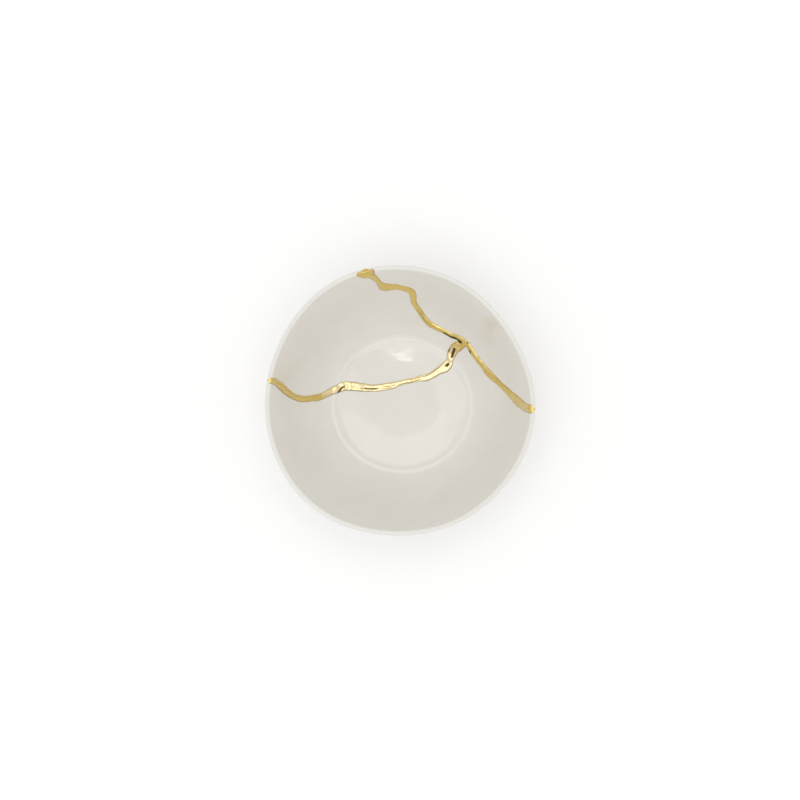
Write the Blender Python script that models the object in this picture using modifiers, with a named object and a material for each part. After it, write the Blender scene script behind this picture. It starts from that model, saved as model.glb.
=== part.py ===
"""A porcelain bowl that broke into three sherds and was mended with one raised, Y-shaped gold seam.

Metres, +Z up, +X to the right and +Y to the back of the bowl. The origin is on the table, at the middle of the
foot ring. A place on the bowl is an azimuth, in degrees counter-clockwise from +X, and a reach, the distance
from the middle of the well along the inner surface, as a share of the whole way to the top of the lip.
"""
import math

import bmesh
import bpy
from mathutils import Vector

# The bowl's driving sizes
RIM_RADIUS = 0.070
HEIGHT = 0.060
WALL = 0.0027
WELL_RADIUS = 0.0378
WELL_DISH = 0.0016
WELL_FLAT = 0.009
STEP_HEIGHT = 0.0009
STEP_WIDTH = 0.0024
RIDGE_HEIGHT = 0.00035
RIDGE_SPREAD = 0.0011
FLOOR = 0.0032
RECESS = 0.0035
FOOT_INSET = 0.0055
FOOT_WIDTH = 0.0032
FOOT_HEIGHT = 0.0045
FOOT_DRAFT = 0.0010
FOOT_ROUND = 0.0004

# The wall's slope above the table where it leaves the well and where it meets the lip, and how far each slope holds
WALL_START = math.radians(28)
WALL_END = math.radians(77)
START_HOLD = 0.30
END_HOLD = 0.52

# The hand-thrown form: waves of the rim and the oval of the base, as (count: share of the radius, azimuth of a crest)
RIM_WAVES = {2: (0.0050, -72), 3: (0.0133, -18), 5: (0.0025, -3), 6: (0.0030, -3)}
BASE_WAVES = {2: (0.020, -5)}

# The gold: its width and height on the porcelain, how it fills the crack, and the room between it and the sherds
SEAM_WIDTH = 0.0040
BEAD_HEIGHT = 0.00085
BEAD_EDGE = 0.00022
CLEARANCE = 0.0003
WEB_WIDTH = 0.0010
LONGEST_LAP = 0.0014
FOOT_MARGIN = 0.0008
FOOT_FADE = 0.0028

# How finely the round forms are faceted, and the shares of the step and of the wall where the ridge needs points
TURNS = 52
WELL_STEPS = 4
STEP_SHARES = (0.55, 0.25, 0.0)
RIDGE_SHARES = (0.03, 0.07)
WALL_STEPS = 9
LIP_STEPS = 6
CURVE_STEPS = 24
STATION = 0.0041
FINE_STATION = 0.0008

# How far the cutters run past the porcelain, and the finest steps that are told apart
CUTTER_REACH = 0.002
SAMPLES = 600
SLOPE_STEP = 0.004
HALVINGS = 40
WELD = 1e-6
SHARP_EDGE = math.radians(35)

# Each seam's points: azimuth, reach and the gold's width as a share of SEAM_WIDTH
CHIP = (
    (104.2, 0.930, 1.9),
    (104.2, 0.955, 2.15),
    (104.2, 0.978, 2.25),
)
BACK_SEAM = (
    (103.0, 0.940, 0.85),
    (101.2, 0.890, 0.85),
    (99.9, 0.844, 0.75),
    (98.9, 0.811, 1.15),
    (97.0, 0.775, 2.1),
    (94.5, 0.770, 1.8),
    (91.5, 0.766, 1.4),
    (89.0, 0.755, 1.3),
    (86.2, 0.745, 1.35),
    (84.2, 0.723, 1.1),
    (83.3, 0.683, 0.95),
    (82.9, 0.640, 0.8),
    (82.0, 0.609, 0.8),
    (78.7, 0.563, 0.85),
    (76.2, 0.531, 0.8),
    (73.2, 0.506, 0.925),
    (70.2, 0.491, 0.95),
    (67.0, 0.486, 0.9),
    (60.0, 0.484, 0.775),
    (54.0, 0.488, 0.825),
    (49.5, 0.502, 0.9),
    (44.8, 0.510, 1.05),
    (41.2, 0.512, 0.85),
    (36.0, 0.503, 0.95),
    (31.0, 0.504, 0.85),
    (24.8, 0.514, 0.925),
    (20.5, 0.526, 1.1),
    (16.7, 0.548, 1.1),
    (13.4, 0.575, 1.0),
    (10.1, 0.607, 0.875),
    (6.8, 0.649, 1.025),
    (3.6, 0.701, 1.25),
    (1.0, 0.762, 1.45),
    (-1.2, 0.832, 1.35),
    (-2.7, 0.908, 1.2),
    (-3.5, 0.978, 1.1),
)
LEFT_SEAM = (
    (170.8, 0.978, 0.85),
    (170.8, 0.930, 0.9),
    (171.5, 0.883, 1.0),
    (172.2, 0.830, 1.15),
    (173.4, 0.777, 1.175),
    (174.9, 0.718, 1.0),
    (176.2, 0.663, 0.875),
    (177.0, 0.612, 0.85),
    (177.1, 0.563, 0.85),
    (176.3, 0.515, 0.825),
    (175.5, 0.473, 0.95),
    (173.8, 0.440, 0.85),
    (171.3, 0.411, 0.95),
    (168.6, 0.384, 1.0),
    (166.0, 0.357, 1.125),
    (162.7, 0.335, 1.25),
    (161.0, 0.309, 1.25),
    (159.0, 0.277, 1.25),
    (156.5, 0.236, 1.15),
    (152.0, 0.193, 1.0),
    (142.0, 0.154, 1.0),
    (123.0, 0.123, 1.0),
    (101.2, 0.120, 0.75),
    (83.4, 0.130, 0.65),
    (69.0, 0.145, 0.65),
    (58.0, 0.172, 0.75),
    (48.5, 0.200, 0.95),
    (44.5, 0.236, 1.0),
    (43.0, 0.273, 1.05),
    (41.3, 0.303, 1.3),
    (41.2, 0.331, 1.35),
    (42.8, 0.360, 1.0),
    (45.0, 0.395, 1.05),
    (46.3, 0.428, 1.35),
    (45.9, 0.457, 1.45),
    (44.8, 0.487, 1.25),
    (44.4, 0.510, 1.0),
)

# Sizes that follow from the ones above
LIP_RADIUS = WALL / 2
LEAN = (math.sin(WALL_END), -math.cos(WALL_END))
RISE = (math.cos(WALL_END), math.sin(WALL_END))
LIP_CENTRE = (RIM_RADIUS - LIP_RADIUS, HEIGHT - LIP_RADIUS)
WALL_TOP = (LIP_CENTRE[0] - LIP_RADIUS * LEAN[0], LIP_CENTRE[1] - LIP_RADIUS * LEAN[1])
WELL_EDGE = (WELL_RADIUS, RECESS + FLOOR + WELL_DISH + STEP_HEIGHT)
WALL_FOOT = (
    WELL_EDGE[0] + WALL * math.sin(WALL_START),
    WELL_EDGE[1] - WALL * math.cos(WALL_START),
)
FOOT_RADIUS = WALL_FOOT[0] - FOOT_INSET
FOOT_INNER_TOP = FOOT_RADIUS - FOOT_WIDTH - FOOT_DRAFT
FOOT_OUTER_TOP = FOOT_RADIUS + FOOT_DRAFT
FOOT_MIDDLE = FOOT_RADIUS - FOOT_WIDTH / 2
UNDERSIDE = (
    (0.0, RECESS),
    (FOOT_INNER_TOP, RECESS),
    (FOOT_RADIUS - FOOT_WIDTH, 0.0),
    (FOOT_RADIUS, 0.0),
    (FOOT_OUTER_TOP, FOOT_HEIGHT),
    WALL_FOOT,
)


def smooth_step(t):
    """A smooth rise from 0 to 1 while t goes from 0 to 1."""
    t = min(1.0, max(0.0, t))
    return t * t * (3 - 2 * t)


def wall_handles():
    """The control points of the cubic curve that the inner wall follows."""
    chord = math.dist(WELL_EDGE, WALL_TOP)
    start = START_HOLD * chord
    end = END_HOLD * chord
    low = (WELL_EDGE[0] + start * math.cos(WALL_START), WELL_EDGE[1] + start * math.sin(WALL_START))
    high = (WALL_TOP[0] - end * RISE[0], WALL_TOP[1] - end * RISE[1])
    return WELL_EDGE, low, high, WALL_TOP


def wall_curve(t):
    """The inner wall's point at t, 0 at the well's edge and 1 at the lip, and its normal into the porcelain."""
    weights = ((1 - t) ** 3, 3 * t * (1 - t) ** 2, 3 * t * t * (1 - t), t ** 3)
    slopes = (3 * (1 - t) ** 2, 6 * t * (1 - t), 3 * t * t)
    points = wall_handles()
    radius, height = (sum(w * p[axis] for w, p in zip(weights, points)) for axis in (0, 1))
    run, rise = (
        sum(w * (b[axis] - a[axis]) for w, a, b in zip(slopes, points, points[1:])) for axis in (0, 1)
    )
    length = math.hypot(run, rise)
    return (radius, height), (rise / length, -run / length)


def ridge(radius):
    """The height of the low ridge that rings the well."""
    return RIDGE_HEIGHT * math.exp(-((radius - WELL_RADIUS) / RIDGE_SPREAD) ** 2)


def well_floor(radius):
    """The height of the well's shallow dish, with the step up to the wall at its edge."""
    dish = WELL_DISH * max(0.0, (radius - WELL_FLAT) / (WELL_RADIUS - WELL_FLAT)) ** 2
    step = STEP_HEIGHT * smooth_step((radius - WELL_RADIUS + STEP_WIDTH) / STEP_WIDTH)
    return RECESS + FLOOR + dish + step + ridge(radius)


def lip_way(angle):
    """The way out of the porcelain on the lip, at an angle from the inner wall over the top to the outer wall."""
    return tuple(-LEAN[axis] * math.cos(angle) + RISE[axis] * math.sin(angle) for axis in (0, 1))


def lip_point(angle):
    """The lip's point at that angle."""
    return tuple(LIP_CENTRE[axis] + LIP_RADIUS * way for axis, way in enumerate(lip_way(angle)))


def inner_point(u):
    """The inner surface's radius and height: u is 0 at the middle, 1 at the well's edge, 2 at the lip, 3 on top."""
    if u <= 1:
        return u * WELL_RADIUS, well_floor(u * WELL_RADIUS)
    if u <= 2:
        (radius, height), _ = wall_curve(u - 1)
        return radius, height + ridge(radius)
    return lip_point((u - 2) * math.pi / 2)


def surface_lengths():
    """The distance along the inner surface from the middle to each of the evenly spaced values of u."""
    points = [inner_point(3 * i / SAMPLES) for i in range(SAMPLES + 1)]
    lengths = [0.0]
    for a, b in zip(points, points[1:]):
        lengths.append(lengths[-1] + math.dist(a, b))
    return lengths


LENGTHS = surface_lengths()
WHOLE_WAY = LENGTHS[-1]
TOP_OF_WALL = LENGTHS[2 * SAMPLES // 3]


def u_at(distance):
    """The value of u at a distance along the inner surface."""
    distance = min(max(distance, 0.0), WHOLE_WAY)
    low, high = 0, SAMPLES
    while high - low > 1:
        middle = (low + high) // 2
        if LENGTHS[middle] <= distance:
            low = middle
        else:
            high = middle
    share = (distance - LENGTHS[low]) / (LENGTHS[high] - LENGTHS[low])
    return 3 * (low + share) / SAMPLES


def underside(radius):
    """The height of the underside, from the middle out over the foot ring to where the outer wall starts."""
    for a, b in zip(UNDERSIDE, UNDERSIDE[1:]):
        if radius <= b[0]:
            return a[1] + (b[1] - a[1]) * (radius - a[0]) / (b[0] - a[0])
    return WALL_FOOT[1]


def drop_to_underside(point, direction):
    """Where a line that runs down from a point in the well meets the underside."""
    low, high = 0.0, point[1] / -direction[1]
    for _ in range(HALVINGS):
        middle = (low + high) / 2
        if point[1] + middle * direction[1] > underside(point[0] + middle * direction[0]):
            low = middle
        else:
            high = middle
    return point[0] + low * direction[0], point[1] + low * direction[1]


def through_wall(distance):
    """The line through the porcelain at a distance: inner point, its way out, outer point and its way out."""
    u = u_at(distance)
    inner = inner_point(u)
    if u <= 1:
        end = min(1.0, u + SLOPE_STEP)
        ahead = inner_point(end)
        behind = inner_point(max(0.0, end - 2 * SLOPE_STEP))
        run = math.dist(ahead, behind)
        inner_way = ((behind[1] - ahead[1]) / run, (ahead[0] - behind[0]) / run)
        lean = WALL_START * max(0.0, (inner[0] - FOOT_MIDDLE) / (WELL_RADIUS - FOOT_MIDDLE))
        outer_way = (math.sin(lean), -math.cos(lean))
        outer = drop_to_underside(inner, outer_way)
    elif u <= 2:
        point, outer_way = wall_curve(u - 1)
        inner_way = (-outer_way[0], -outer_way[1])
        outer = (point[0] + WALL * outer_way[0], point[1] + WALL * outer_way[1])
    else:
        angle = (u - 2) * math.pi / 2
        inner_way = lip_way(angle)
        outer_way = lip_way(math.pi - angle)
        outer = lip_point(math.pi - angle)
    return inner, inner_way, outer, outer_way


def waves(azimuth, crests):
    """How far a ring stands off its circle at an azimuth in radians, as a share of its radius."""
    return sum(share * math.cos(count * (azimuth - math.radians(at))) for count, (share, at) in crests.items())


def rim_offset():
    """How far the waves leave the middle of the rim's outline from the axis."""
    rim = []
    for i in range(360):
        azimuth = math.radians(i)
        radius = RIM_RADIUS * (1 + waves(azimuth, RIM_WAVES))
        rim.append((radius * math.cos(azimuth), radius * math.sin(azimuth)))
    return tuple((min(p[axis] for p in rim) + max(p[axis] for p in rim)) / 2 for axis in (0, 1))


RIM_OFFSET = rim_offset()


def out_of_round(point):
    """Moves a point of the true turned form to where the hand-thrown bowl has it."""
    x, y, z = point
    azimuth = math.atan2(y, x)
    share = smooth_step(z / HEIGHT)
    base = 1 + waves(azimuth, BASE_WAVES)
    rim = 1 + waves(azimuth, RIM_WAVES)
    scale = base + (rim - base) * share
    return Vector((x * scale - RIM_OFFSET[0] * share, y * scale - RIM_OFFSET[1] * share, z))


def place(azimuth, radius, height):
    """The bowl's point at an azimuth in radians, a radius and a height of the turned form."""
    return out_of_round((radius * math.cos(azimuth), radius * math.sin(azimuth), height))


def bowl_profile():
    """The turned outline, from the middle of the well over the lip and down the outside to the underside's middle."""
    dish = WELL_RADIUS - STEP_WIDTH - WELL_FLAT
    well = [0.0] + [WELL_FLAT + dish * i / WELL_STEPS for i in range(WELL_STEPS + 1)]
    well += [WELL_RADIUS - STEP_WIDTH * share for share in STEP_SHARES]
    points = [(radius, well_floor(radius)) for radius in well]
    near, far = RIDGE_SHARES
    points.append(inner_point(1 + near))
    points += [inner_point(1 + far + (1 - far) * i / WALL_STEPS) for i in range(WALL_STEPS + 1)]
    points += [lip_point(math.pi * i / LIP_STEPS) for i in range(1, LIP_STEPS)]
    for i in range(WALL_STEPS, -1, -1):
        point, way = wall_curve(i / WALL_STEPS)
        points.append((point[0] + WALL * way[0], point[1] + WALL * way[1]))
    points.append((FOOT_OUTER_TOP, FOOT_HEIGHT))
    points.append((FOOT_RADIUS + FOOT_DRAFT * FOOT_ROUND / FOOT_HEIGHT, FOOT_ROUND))
    points.append((FOOT_RADIUS - FOOT_ROUND, 0.0))
    points.append((FOOT_RADIUS - FOOT_WIDTH + FOOT_ROUND, 0.0))
    points.append((FOOT_RADIUS - FOOT_WIDTH - FOOT_DRAFT * FOOT_ROUND / RECESS, FOOT_ROUND))
    points.append((FOOT_INNER_TOP, RECESS))
    points.append((0.0, RECESS))
    return points


def curve_through(points):
    """Samples of a smooth curve through points of any dimension, as a Catmull-Rom spline."""
    padded = [points[0]] + list(points) + [points[-1]]
    samples = []
    for a, b, c, d in zip(padded, padded[1:], padded[2:], padded[3:]):
        for i in range(CURVE_STEPS):
            t = i / CURVE_STEPS
            samples.append(tuple(
                0.5 * (2 * q + (r - p) * t + (2 * p - 5 * q + 4 * r - s) * t ** 2 + (3 * q - p - 3 * r + s) * t ** 3)
                for p, q, r, s in zip(a, b, c, d)
            ))
    samples.append(tuple(points[-1]))
    return samples


def seam_line(controls):
    """A seam's fine line as (azimuth, distance, width), with its azimuth continuous."""
    flat = []
    for azimuth, reach, width in controls:
        angle = math.radians(azimuth)
        distance = reach * WHOLE_WAY
        flat.append((distance * math.cos(angle), distance * math.sin(angle), width * SEAM_WIDTH))
    return [(math.atan2(y, x), math.hypot(x, y), width) for x, y, width in curve_through(flat)]


def radius_at(distance):
    """The turned form's inner radius at a distance along the surface."""
    return inner_point(u_at(distance))[0]


def station_gap(radius):
    """How far apart the cross sections are: close together where they cross the foot ring and the well's ridge."""
    inner_end = FOOT_INNER_TOP - FOOT_MARGIN - FOOT_FADE - FINE_STATION
    outer_end = WELL_RADIUS + 3 * RIDGE_SPREAD
    return FINE_STATION if inner_end < radius < outer_end else STATION


def seam_stations(controls):
    """The places of a seam's cross sections: azimuth, distance, half width and the unit vector across the seam."""
    line = seam_line(controls)
    stations = []
    since = STATION
    for i, (azimuth, distance, width) in enumerate(line):
        after = line[min(i + 1, len(line) - 1)]
        before = line[max(i - 1, 0)]
        radius = max(radius_at(distance), FINE_STATION)
        turn = math.remainder(after[0] - before[0], 2 * math.pi) * radius
        rise = after[1] - before[1]
        run = math.hypot(turn, rise)
        since += run / 2
        if since >= station_gap(radius) or i == len(line) - 1:
            stations.append((azimuth, distance, width / 2, (-rise / run, turn / run)))
            since = 0.0
    return stations


def lip_stations(last, outward):
    """The cross sections that carry a seam from the top of the wall over the lip."""
    azimuth, _, half, _ = last
    stations = []
    for i in range(1, LIP_STEPS // 2 + 1):
        share = i / (LIP_STEPS // 2)
        distance = TOP_OF_WALL + (WHOLE_WAY - TOP_OF_WALL) * share
        stations.append((azimuth, distance, half, (-outward, 0.0)))
    return stations


def whole_seam(controls, starts_at_lip, ends_at_lip):
    """A seam's cross sections, carried over the lip at the ends that reach it."""
    stations = seam_stations(controls)
    if starts_at_lip:
        stations = lip_stations(stations[0], -1)[::-1] + stations
    if ends_at_lip:
        stations += lip_stations(stations[-1], 1)
    return stations


def beside(station, offset):
    """The azimuth and distance that lie a signed offset across the seam from a station's middle."""
    azimuth, distance, _, across = station
    radius = max(radius_at(distance), FINE_STATION)
    return azimuth + offset * across[0] / radius, distance + offset * across[1]


def web_half(half):
    """Half the width of the gold that fills the crack, under a bead of a given half width."""
    return max(WEB_WIDTH / 2, half - LONGEST_LAP)


def bead_share(radius):
    """How much of the outer bead shows at a radius of the underside: all of it, but none across the foot ring."""
    from_foot = max(FOOT_INNER_TOP - radius, radius - FOOT_OUTER_TOP)
    return min(1.0, max(0.0, (from_foot - FOOT_MARGIN) / FOOT_FADE))


def seam_section(station):
    """The gold's closed cross section: a bead inside, the web through the crack and a bead outside.

    Across the foot ring the outer bead narrows to the web and sinks into the crack.
    """
    half = station[2]
    web = web_half(half)

    def inside(offset, height):
        azimuth, distance = beside(station, offset)
        (radius, level), way, _, _ = through_wall(distance)
        return place(azimuth, radius + height * way[0], level + height * way[1])

    _, _, (middle_radius, _), _ = through_wall(station[1])
    share = bead_share(middle_radius)
    raised = min(1.0, 2 * share)
    rim = web + (half - web) * max(0.0, 2 * share - 1)

    def outside(offset, height, sunk):
        azimuth, distance = beside(station, offset)
        _, _, (radius, level), way = through_wall(distance)
        proud = height * raised - sunk * (1 - raised)
        return place(azimuth, radius + proud * way[0], level + proud * way[1])

    edge = CLEARANCE + BEAD_EDGE
    return [
        inside(-web, CLEARANCE),
        inside(-half, CLEARANCE),
        inside(-half, edge),
        inside(0.0, BEAD_HEIGHT),
        inside(half, edge),
        inside(half, CLEARANCE),
        inside(web, CLEARANCE),
        outside(web, CLEARANCE, 3 * CLEARANCE),
        outside(rim, CLEARANCE, 2 * CLEARANCE),
        outside(rim, edge, CLEARANCE),
        outside(0.0, BEAD_HEIGHT, CLEARANCE),
        outside(-rim, edge, CLEARANCE),
        outside(-rim, CLEARANCE, 2 * CLEARANCE),
        outside(-web, CLEARANCE, 3 * CLEARANCE),
    ]


def slot_section(station):
    """The cross section of the crack's cutter, which runs past both surfaces."""
    slot = web_half(station[2]) + CLEARANCE

    def line(offset):
        azimuth, distance = beside(station, offset)
        inner, inner_way, outer, outer_way = through_wall(min(distance, TOP_OF_WALL))
        above = max(0.0, distance - TOP_OF_WALL)
        depth = CUTTER_REACH if outer[0] > FOOT_OUTER_TOP else CUTTER_REACH + FOOT_HEIGHT
        ends = []
        for point, way, run in ((inner, inner_way, CUTTER_REACH), (outer, outer_way, depth)):
            ends.append(place(
                azimuth, point[0] + run * way[0] + above * RISE[0], point[1] + run * way[1] + above * RISE[1]
            ))
        return ends

    left_inner, left_outer = line(-slot)
    right_inner, right_outer = line(slot)
    return [left_inner, right_inner, right_outer, left_outer]


def loft(name, sections, collection):
    """A closed solid through cross sections that have the same number of points."""
    mesh = bmesh.new()
    rings = [[mesh.verts.new(point) for point in section] for section in sections]
    for a, b in zip(rings, rings[1:]):
        for i in range(len(a)):
            j = (i + 1) % len(a)
            mesh.faces.new((a[i], a[j], b[j], b[i]))
    mesh.faces.new(rings[0])
    mesh.faces.new(rings[-1][::-1])
    bmesh.ops.remove_doubles(mesh, verts=mesh.verts, dist=WELD)
    bmesh.ops.triangulate(mesh, faces=mesh.faces)
    bmesh.ops.recalc_face_normals(mesh, faces=mesh.faces)
    data = bpy.data.meshes.new(name)
    mesh.to_mesh(data)
    mesh.free()
    solid = bpy.data.objects.new(name, data)
    collection.objects.link(solid)
    return solid


def apply_modifiers(solid):
    """Turns an object's evaluated shape into its own mesh."""
    graph = bpy.context.evaluated_depsgraph_get()
    evaluated = bpy.data.meshes.new_from_object(solid.evaluated_get(graph))
    solid.modifiers.clear()
    solid.data = evaluated


def add_boolean(solid, other, operation):
    """Adds an exact Boolean with another solid."""
    boolean = solid.modifiers.new(operation.title() + " " + other.name, "BOOLEAN")
    boolean.operation = operation
    boolean.solver = "EXACT"
    boolean.object = other


def hide_as_cutter(solid):
    """Marks a solid as a construction aid."""
    solid.hide_render = True
    solid.display_type = "WIRE"


def seam_plans():
    """Every stretch of gold with the ends that reach the lip."""
    return (
        ("chip", CHIP, False, True),
        ("back", BACK_SEAM, False, True),
        ("left", LEFT_SEAM, True, False),
    )


def crack_cutters(collection):
    """The solids that cut the cracks, one for each stretch of gold."""
    cutters = []
    for name, controls, starts_at_lip, ends_at_lip in seam_plans():
        stations = seam_stations(controls)
        over = CUTTER_REACH + WHOLE_WAY - TOP_OF_WALL
        if starts_at_lip:
            azimuth, _, half, _ = stations[0]
            stations.insert(0, (azimuth, WHOLE_WAY + over, half, (1.0, 0.0)))
        if ends_at_lip:
            azimuth, _, half, _ = stations[-1]
            stations.append((azimuth, WHOLE_WAY + over, half, (-1.0, 0.0)))
        cutter = loft(name + "_crack", [slot_section(station) for station in stations], collection)
        hide_as_cutter(cutter)
        cutters.append(cutter)
    return cutters


def turned_bowl(collection):
    """The whole bowl, turned from its profile and then drawn out of round."""
    outline = bpy.data.meshes.new("bowl_outline")
    points = bowl_profile()
    outline.from_pydata([(r, 0.0, z) for r, z in points], [(i, i + 1) for i in range(len(points) - 1)], [])
    bowl = bpy.data.objects.new("bowl", outline)
    collection.objects.link(bowl)
    screw = bowl.modifiers.new("Turn", "SCREW")
    screw.steps = TURNS
    screw.render_steps = TURNS
    screw.use_merge_vertices = True
    screw.merge_threshold = WELD
    apply_modifiers(bowl)
    for vertex in bowl.data.vertices:
        vertex.co = out_of_round(vertex.co)
    return bowl


def loose_parts(mesh):
    """The sets of vertices of a bmesh that hang together."""
    waiting = set(mesh.verts)
    parts = []
    while waiting:
        stack = [waiting.pop()]
        part = set(stack)
        while stack:
            for edge in stack.pop().link_edges:
                for vertex in edge.verts:
                    if vertex in waiting:
                        waiting.remove(vertex)
                        part.add(vertex)
                        stack.append(vertex)
        parts.append(part)
    return parts


def sherd_name(part):
    """Names a sherd by where its middle lies."""
    x = sum(vertex.co.x for vertex in part) / len(part)
    y = sum(vertex.co.y for vertex in part) / len(part)
    if y < 0:
        return "front_sherd"
    return "back_right_sherd" if x > 0 else "back_left_sherd"


def split_into_sherds(bowl, collection, material):
    """Makes one object of each piece that the cracks leave."""
    whole = bmesh.new()
    whole.from_mesh(bowl.data)
    bmesh.ops.triangulate(whole, faces=whole.faces)
    for part in loose_parts(whole):
        sherd = bmesh.new()
        copies = {vertex: sherd.verts.new(vertex.co) for vertex in part}
        faces = {face for vertex in part for face in vertex.link_faces}
        for face in sorted(faces, key=lambda each: each.index):
            sherd.faces.new([copies[vertex] for vertex in face.verts])
        name = sherd_name(part)
        data = bpy.data.meshes.new(name)
        sherd.to_mesh(data)
        sherd.free()
        finish(bpy.data.objects.new(name, data), collection, material)
    whole.free()
    bpy.data.objects.remove(bowl)


def finish(solid, collection, material):
    """Puts a finished piece in the bowl's collection, with its material and smooth shading."""
    if solid.name not in collection.objects:
        collection.objects.link(solid)
    solid.data.materials.clear()
    solid.data.materials.append(material)
    solid.data.shade_smooth()
    solid.data.set_sharp_from_angle(angle=SHARP_EDGE)


def surface(name, colour, roughness, metallic):
    """A Principled material."""
    material = bpy.data.materials.new(name)
    material.use_nodes = True
    shader = material.node_tree.nodes["Principled BSDF"]
    shader.inputs["Base Color"].default_value = (*colour, 1.0)
    shader.inputs["Roughness"].default_value = roughness
    shader.inputs["Metallic"].default_value = metallic
    return material


def gold_seam(pieces, cutters, material):
    """The one Y-shaped seam, joined from its stretches."""
    stretches = []
    for name, controls, starts_at_lip, ends_at_lip in seam_plans():
        stations = whole_seam(controls, starts_at_lip, ends_at_lip)
        stretches.append(loft(name + "_gold", [seam_section(station) for station in stations], cutters))
    first, *others = stretches
    for other in others:
        add_boolean(first, other, "UNION")
        apply_modifiers(first)
        bpy.data.objects.remove(other)
    cutters.objects.unlink(first)
    first.name = "gold_seam"
    first.data.name = "gold_seam"
    finish(first, pieces, material)


def new_collection(name):
    """A collection in the scene."""
    collection = bpy.data.collections.new(name)
    bpy.context.scene.collection.children.link(collection)
    return collection


def main():
    """Builds the bowl."""
    for solid in list(bpy.data.objects):
        bpy.data.objects.remove(solid)
    pieces = new_collection("kintsugi_bowl")
    cutters = new_collection("cutters")
    porcelain = surface("porcelain", (0.80, 0.78, 0.72), 0.12, 0.0)
    gold = surface("gold", (0.83, 0.60, 0.22), 0.18, 1.0)
    bowl = turned_bowl(cutters)
    for cutter in crack_cutters(cutters):
        add_boolean(bowl, cutter, "DIFFERENCE")
    apply_modifiers(bowl)
    split_into_sherds(bowl, pieces, porcelain)
    gold_seam(pieces, cutters, gold)


main()
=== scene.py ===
"""The looks of the kintsugi bowl: fine glazed sherds, the raised gold repair, and a bright studio.

Metres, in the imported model's frame. A place on the bowl is an azimuth, in degrees counter-clockwise from +X,
and a reach, the distance from the middle of the well along the inner surface, as a share of the way to the
lip's top.
"""
import math

import bmesh
import bpy
import numpy as np
from mathutils import Matrix, Vector, kdtree, noise


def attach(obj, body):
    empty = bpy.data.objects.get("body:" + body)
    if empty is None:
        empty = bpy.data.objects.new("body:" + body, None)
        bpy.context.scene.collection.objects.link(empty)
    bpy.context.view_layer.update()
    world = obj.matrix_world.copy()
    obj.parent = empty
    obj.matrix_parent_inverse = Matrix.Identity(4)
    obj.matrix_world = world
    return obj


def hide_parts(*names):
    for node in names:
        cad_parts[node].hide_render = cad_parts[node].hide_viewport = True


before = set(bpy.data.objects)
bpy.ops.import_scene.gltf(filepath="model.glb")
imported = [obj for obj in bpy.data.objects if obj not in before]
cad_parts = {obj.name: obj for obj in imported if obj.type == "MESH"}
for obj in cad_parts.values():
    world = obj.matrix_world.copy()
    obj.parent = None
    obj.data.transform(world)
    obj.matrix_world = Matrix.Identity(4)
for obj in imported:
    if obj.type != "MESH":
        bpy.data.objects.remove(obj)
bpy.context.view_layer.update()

# The bowl's sizes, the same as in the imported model
RIM_RADIUS = 0.070
HEIGHT = 0.060
WALL = 0.0027
WELL_RADIUS = 0.0378
WELL_DISH = 0.0016
WELL_FLAT = 0.009
STEP_HEIGHT = 0.0009
FLOOR = 0.0032
RECESS = 0.0035
FOOT_INSET = 0.0055
FOOT_WIDTH = 0.0032
FOOT_HEIGHT = 0.0045
FOOT_DRAFT = 0.0010
WALL_START = math.radians(28)
WALL_END = math.radians(77)
START_HOLD = 0.30
END_HOLD = 0.52
RIM_WAVES = {2: (0.0050, -72), 3: (0.0133, -18), 5: (0.0025, -3), 6: (0.0030, -3)}
BASE_WAVES = {2: (0.020, -5)}

# The step and the ridge round the well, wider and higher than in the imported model, to catch the light
STEP_WIDTH = 0.0200
RIDGE_HEIGHT = 0.00050
RIDGE_INSET = 0.0003
RIDGE_INSIDE = 0.0022
RIDGE_OUTSIDE = 0.0009

# Rounding of the foot ring's edges and of the corner where the wall meets it
FOOT_ROUND = 0.0006
FOOT_FILLET = 0.0014

# The gold's width, its height inside, outside, on the lip and across the foot, and its fade to the foot
SEAM_WIDTH = 0.0040
BEAD_HEIGHT = 0.00065
OUTER_HEIGHT = 0.00035
LIP_HEIGHT = 0.00012
FOOT_BEAD_HEIGHT = 0.00010
FOOT_FADE = 0.003
FOOT_FADE_START = 0.3

# The gold's rounded section: how full it is, and how sharply it meets the porcelain
BEAD_FULLNESS = 2.2
BEAD_SHOULDER = 0.58
SUNK = 0.00003
NEAR_EDGE = 0.999

# How the gold thins and ends at the lip
LIP_FADE = 0.0035
END_FADE = 0.0060
END_SHARE = 0.04
END_ROUNDING = 0.0009
END_CORNER = 0.0006

# The gold's unevenness: how strong it is, and how long its lumps are
EDGE_UNEVENNESS = 0.09
EDGE_LUMPS = 0.0028
HEIGHT_UNEVENNESS = 0.30
HEIGHT_LUMPS = 0.004
NOISE_ROW = 7.3
NOISE_LEVEL = 0.5
SEAM_SEEDS = 10.0

# The gold that fills the crack, how far its beads lap over the porcelain, and the room it has in the crack
WEB_WIDTH = 0.0010
LONGEST_LAP = 0.0014
LEAST_LAP = 0.0003
SLOT_ROOM = 0.00015

# The cut through the wall: its reach past both faces, how much less that is near the lip, and above the lip
CUT_REACH = 0.002
CUT_REACH_LESS = 0.0015
CUT_PAST_LIP = 0.003

# How finely things are divided
TURNS = 300
LIP_STEPS = 7
WALL_ROWS = 80
ARC_POINTS = 12
BEAD_STEPS = 28
OUTER_STEPS = 14
LIP_STATIONS = 8
STATION = 0.00032
CUT_STATION = 0.0022
SURFACE_STEP = 0.0009
FINE_STEP = 0.00028
SAMPLES = 6000
LIP_SAMPLES = 600
CURVE_STEPS = 60
HALVINGS = 40
WELD = 2e-6

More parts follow.
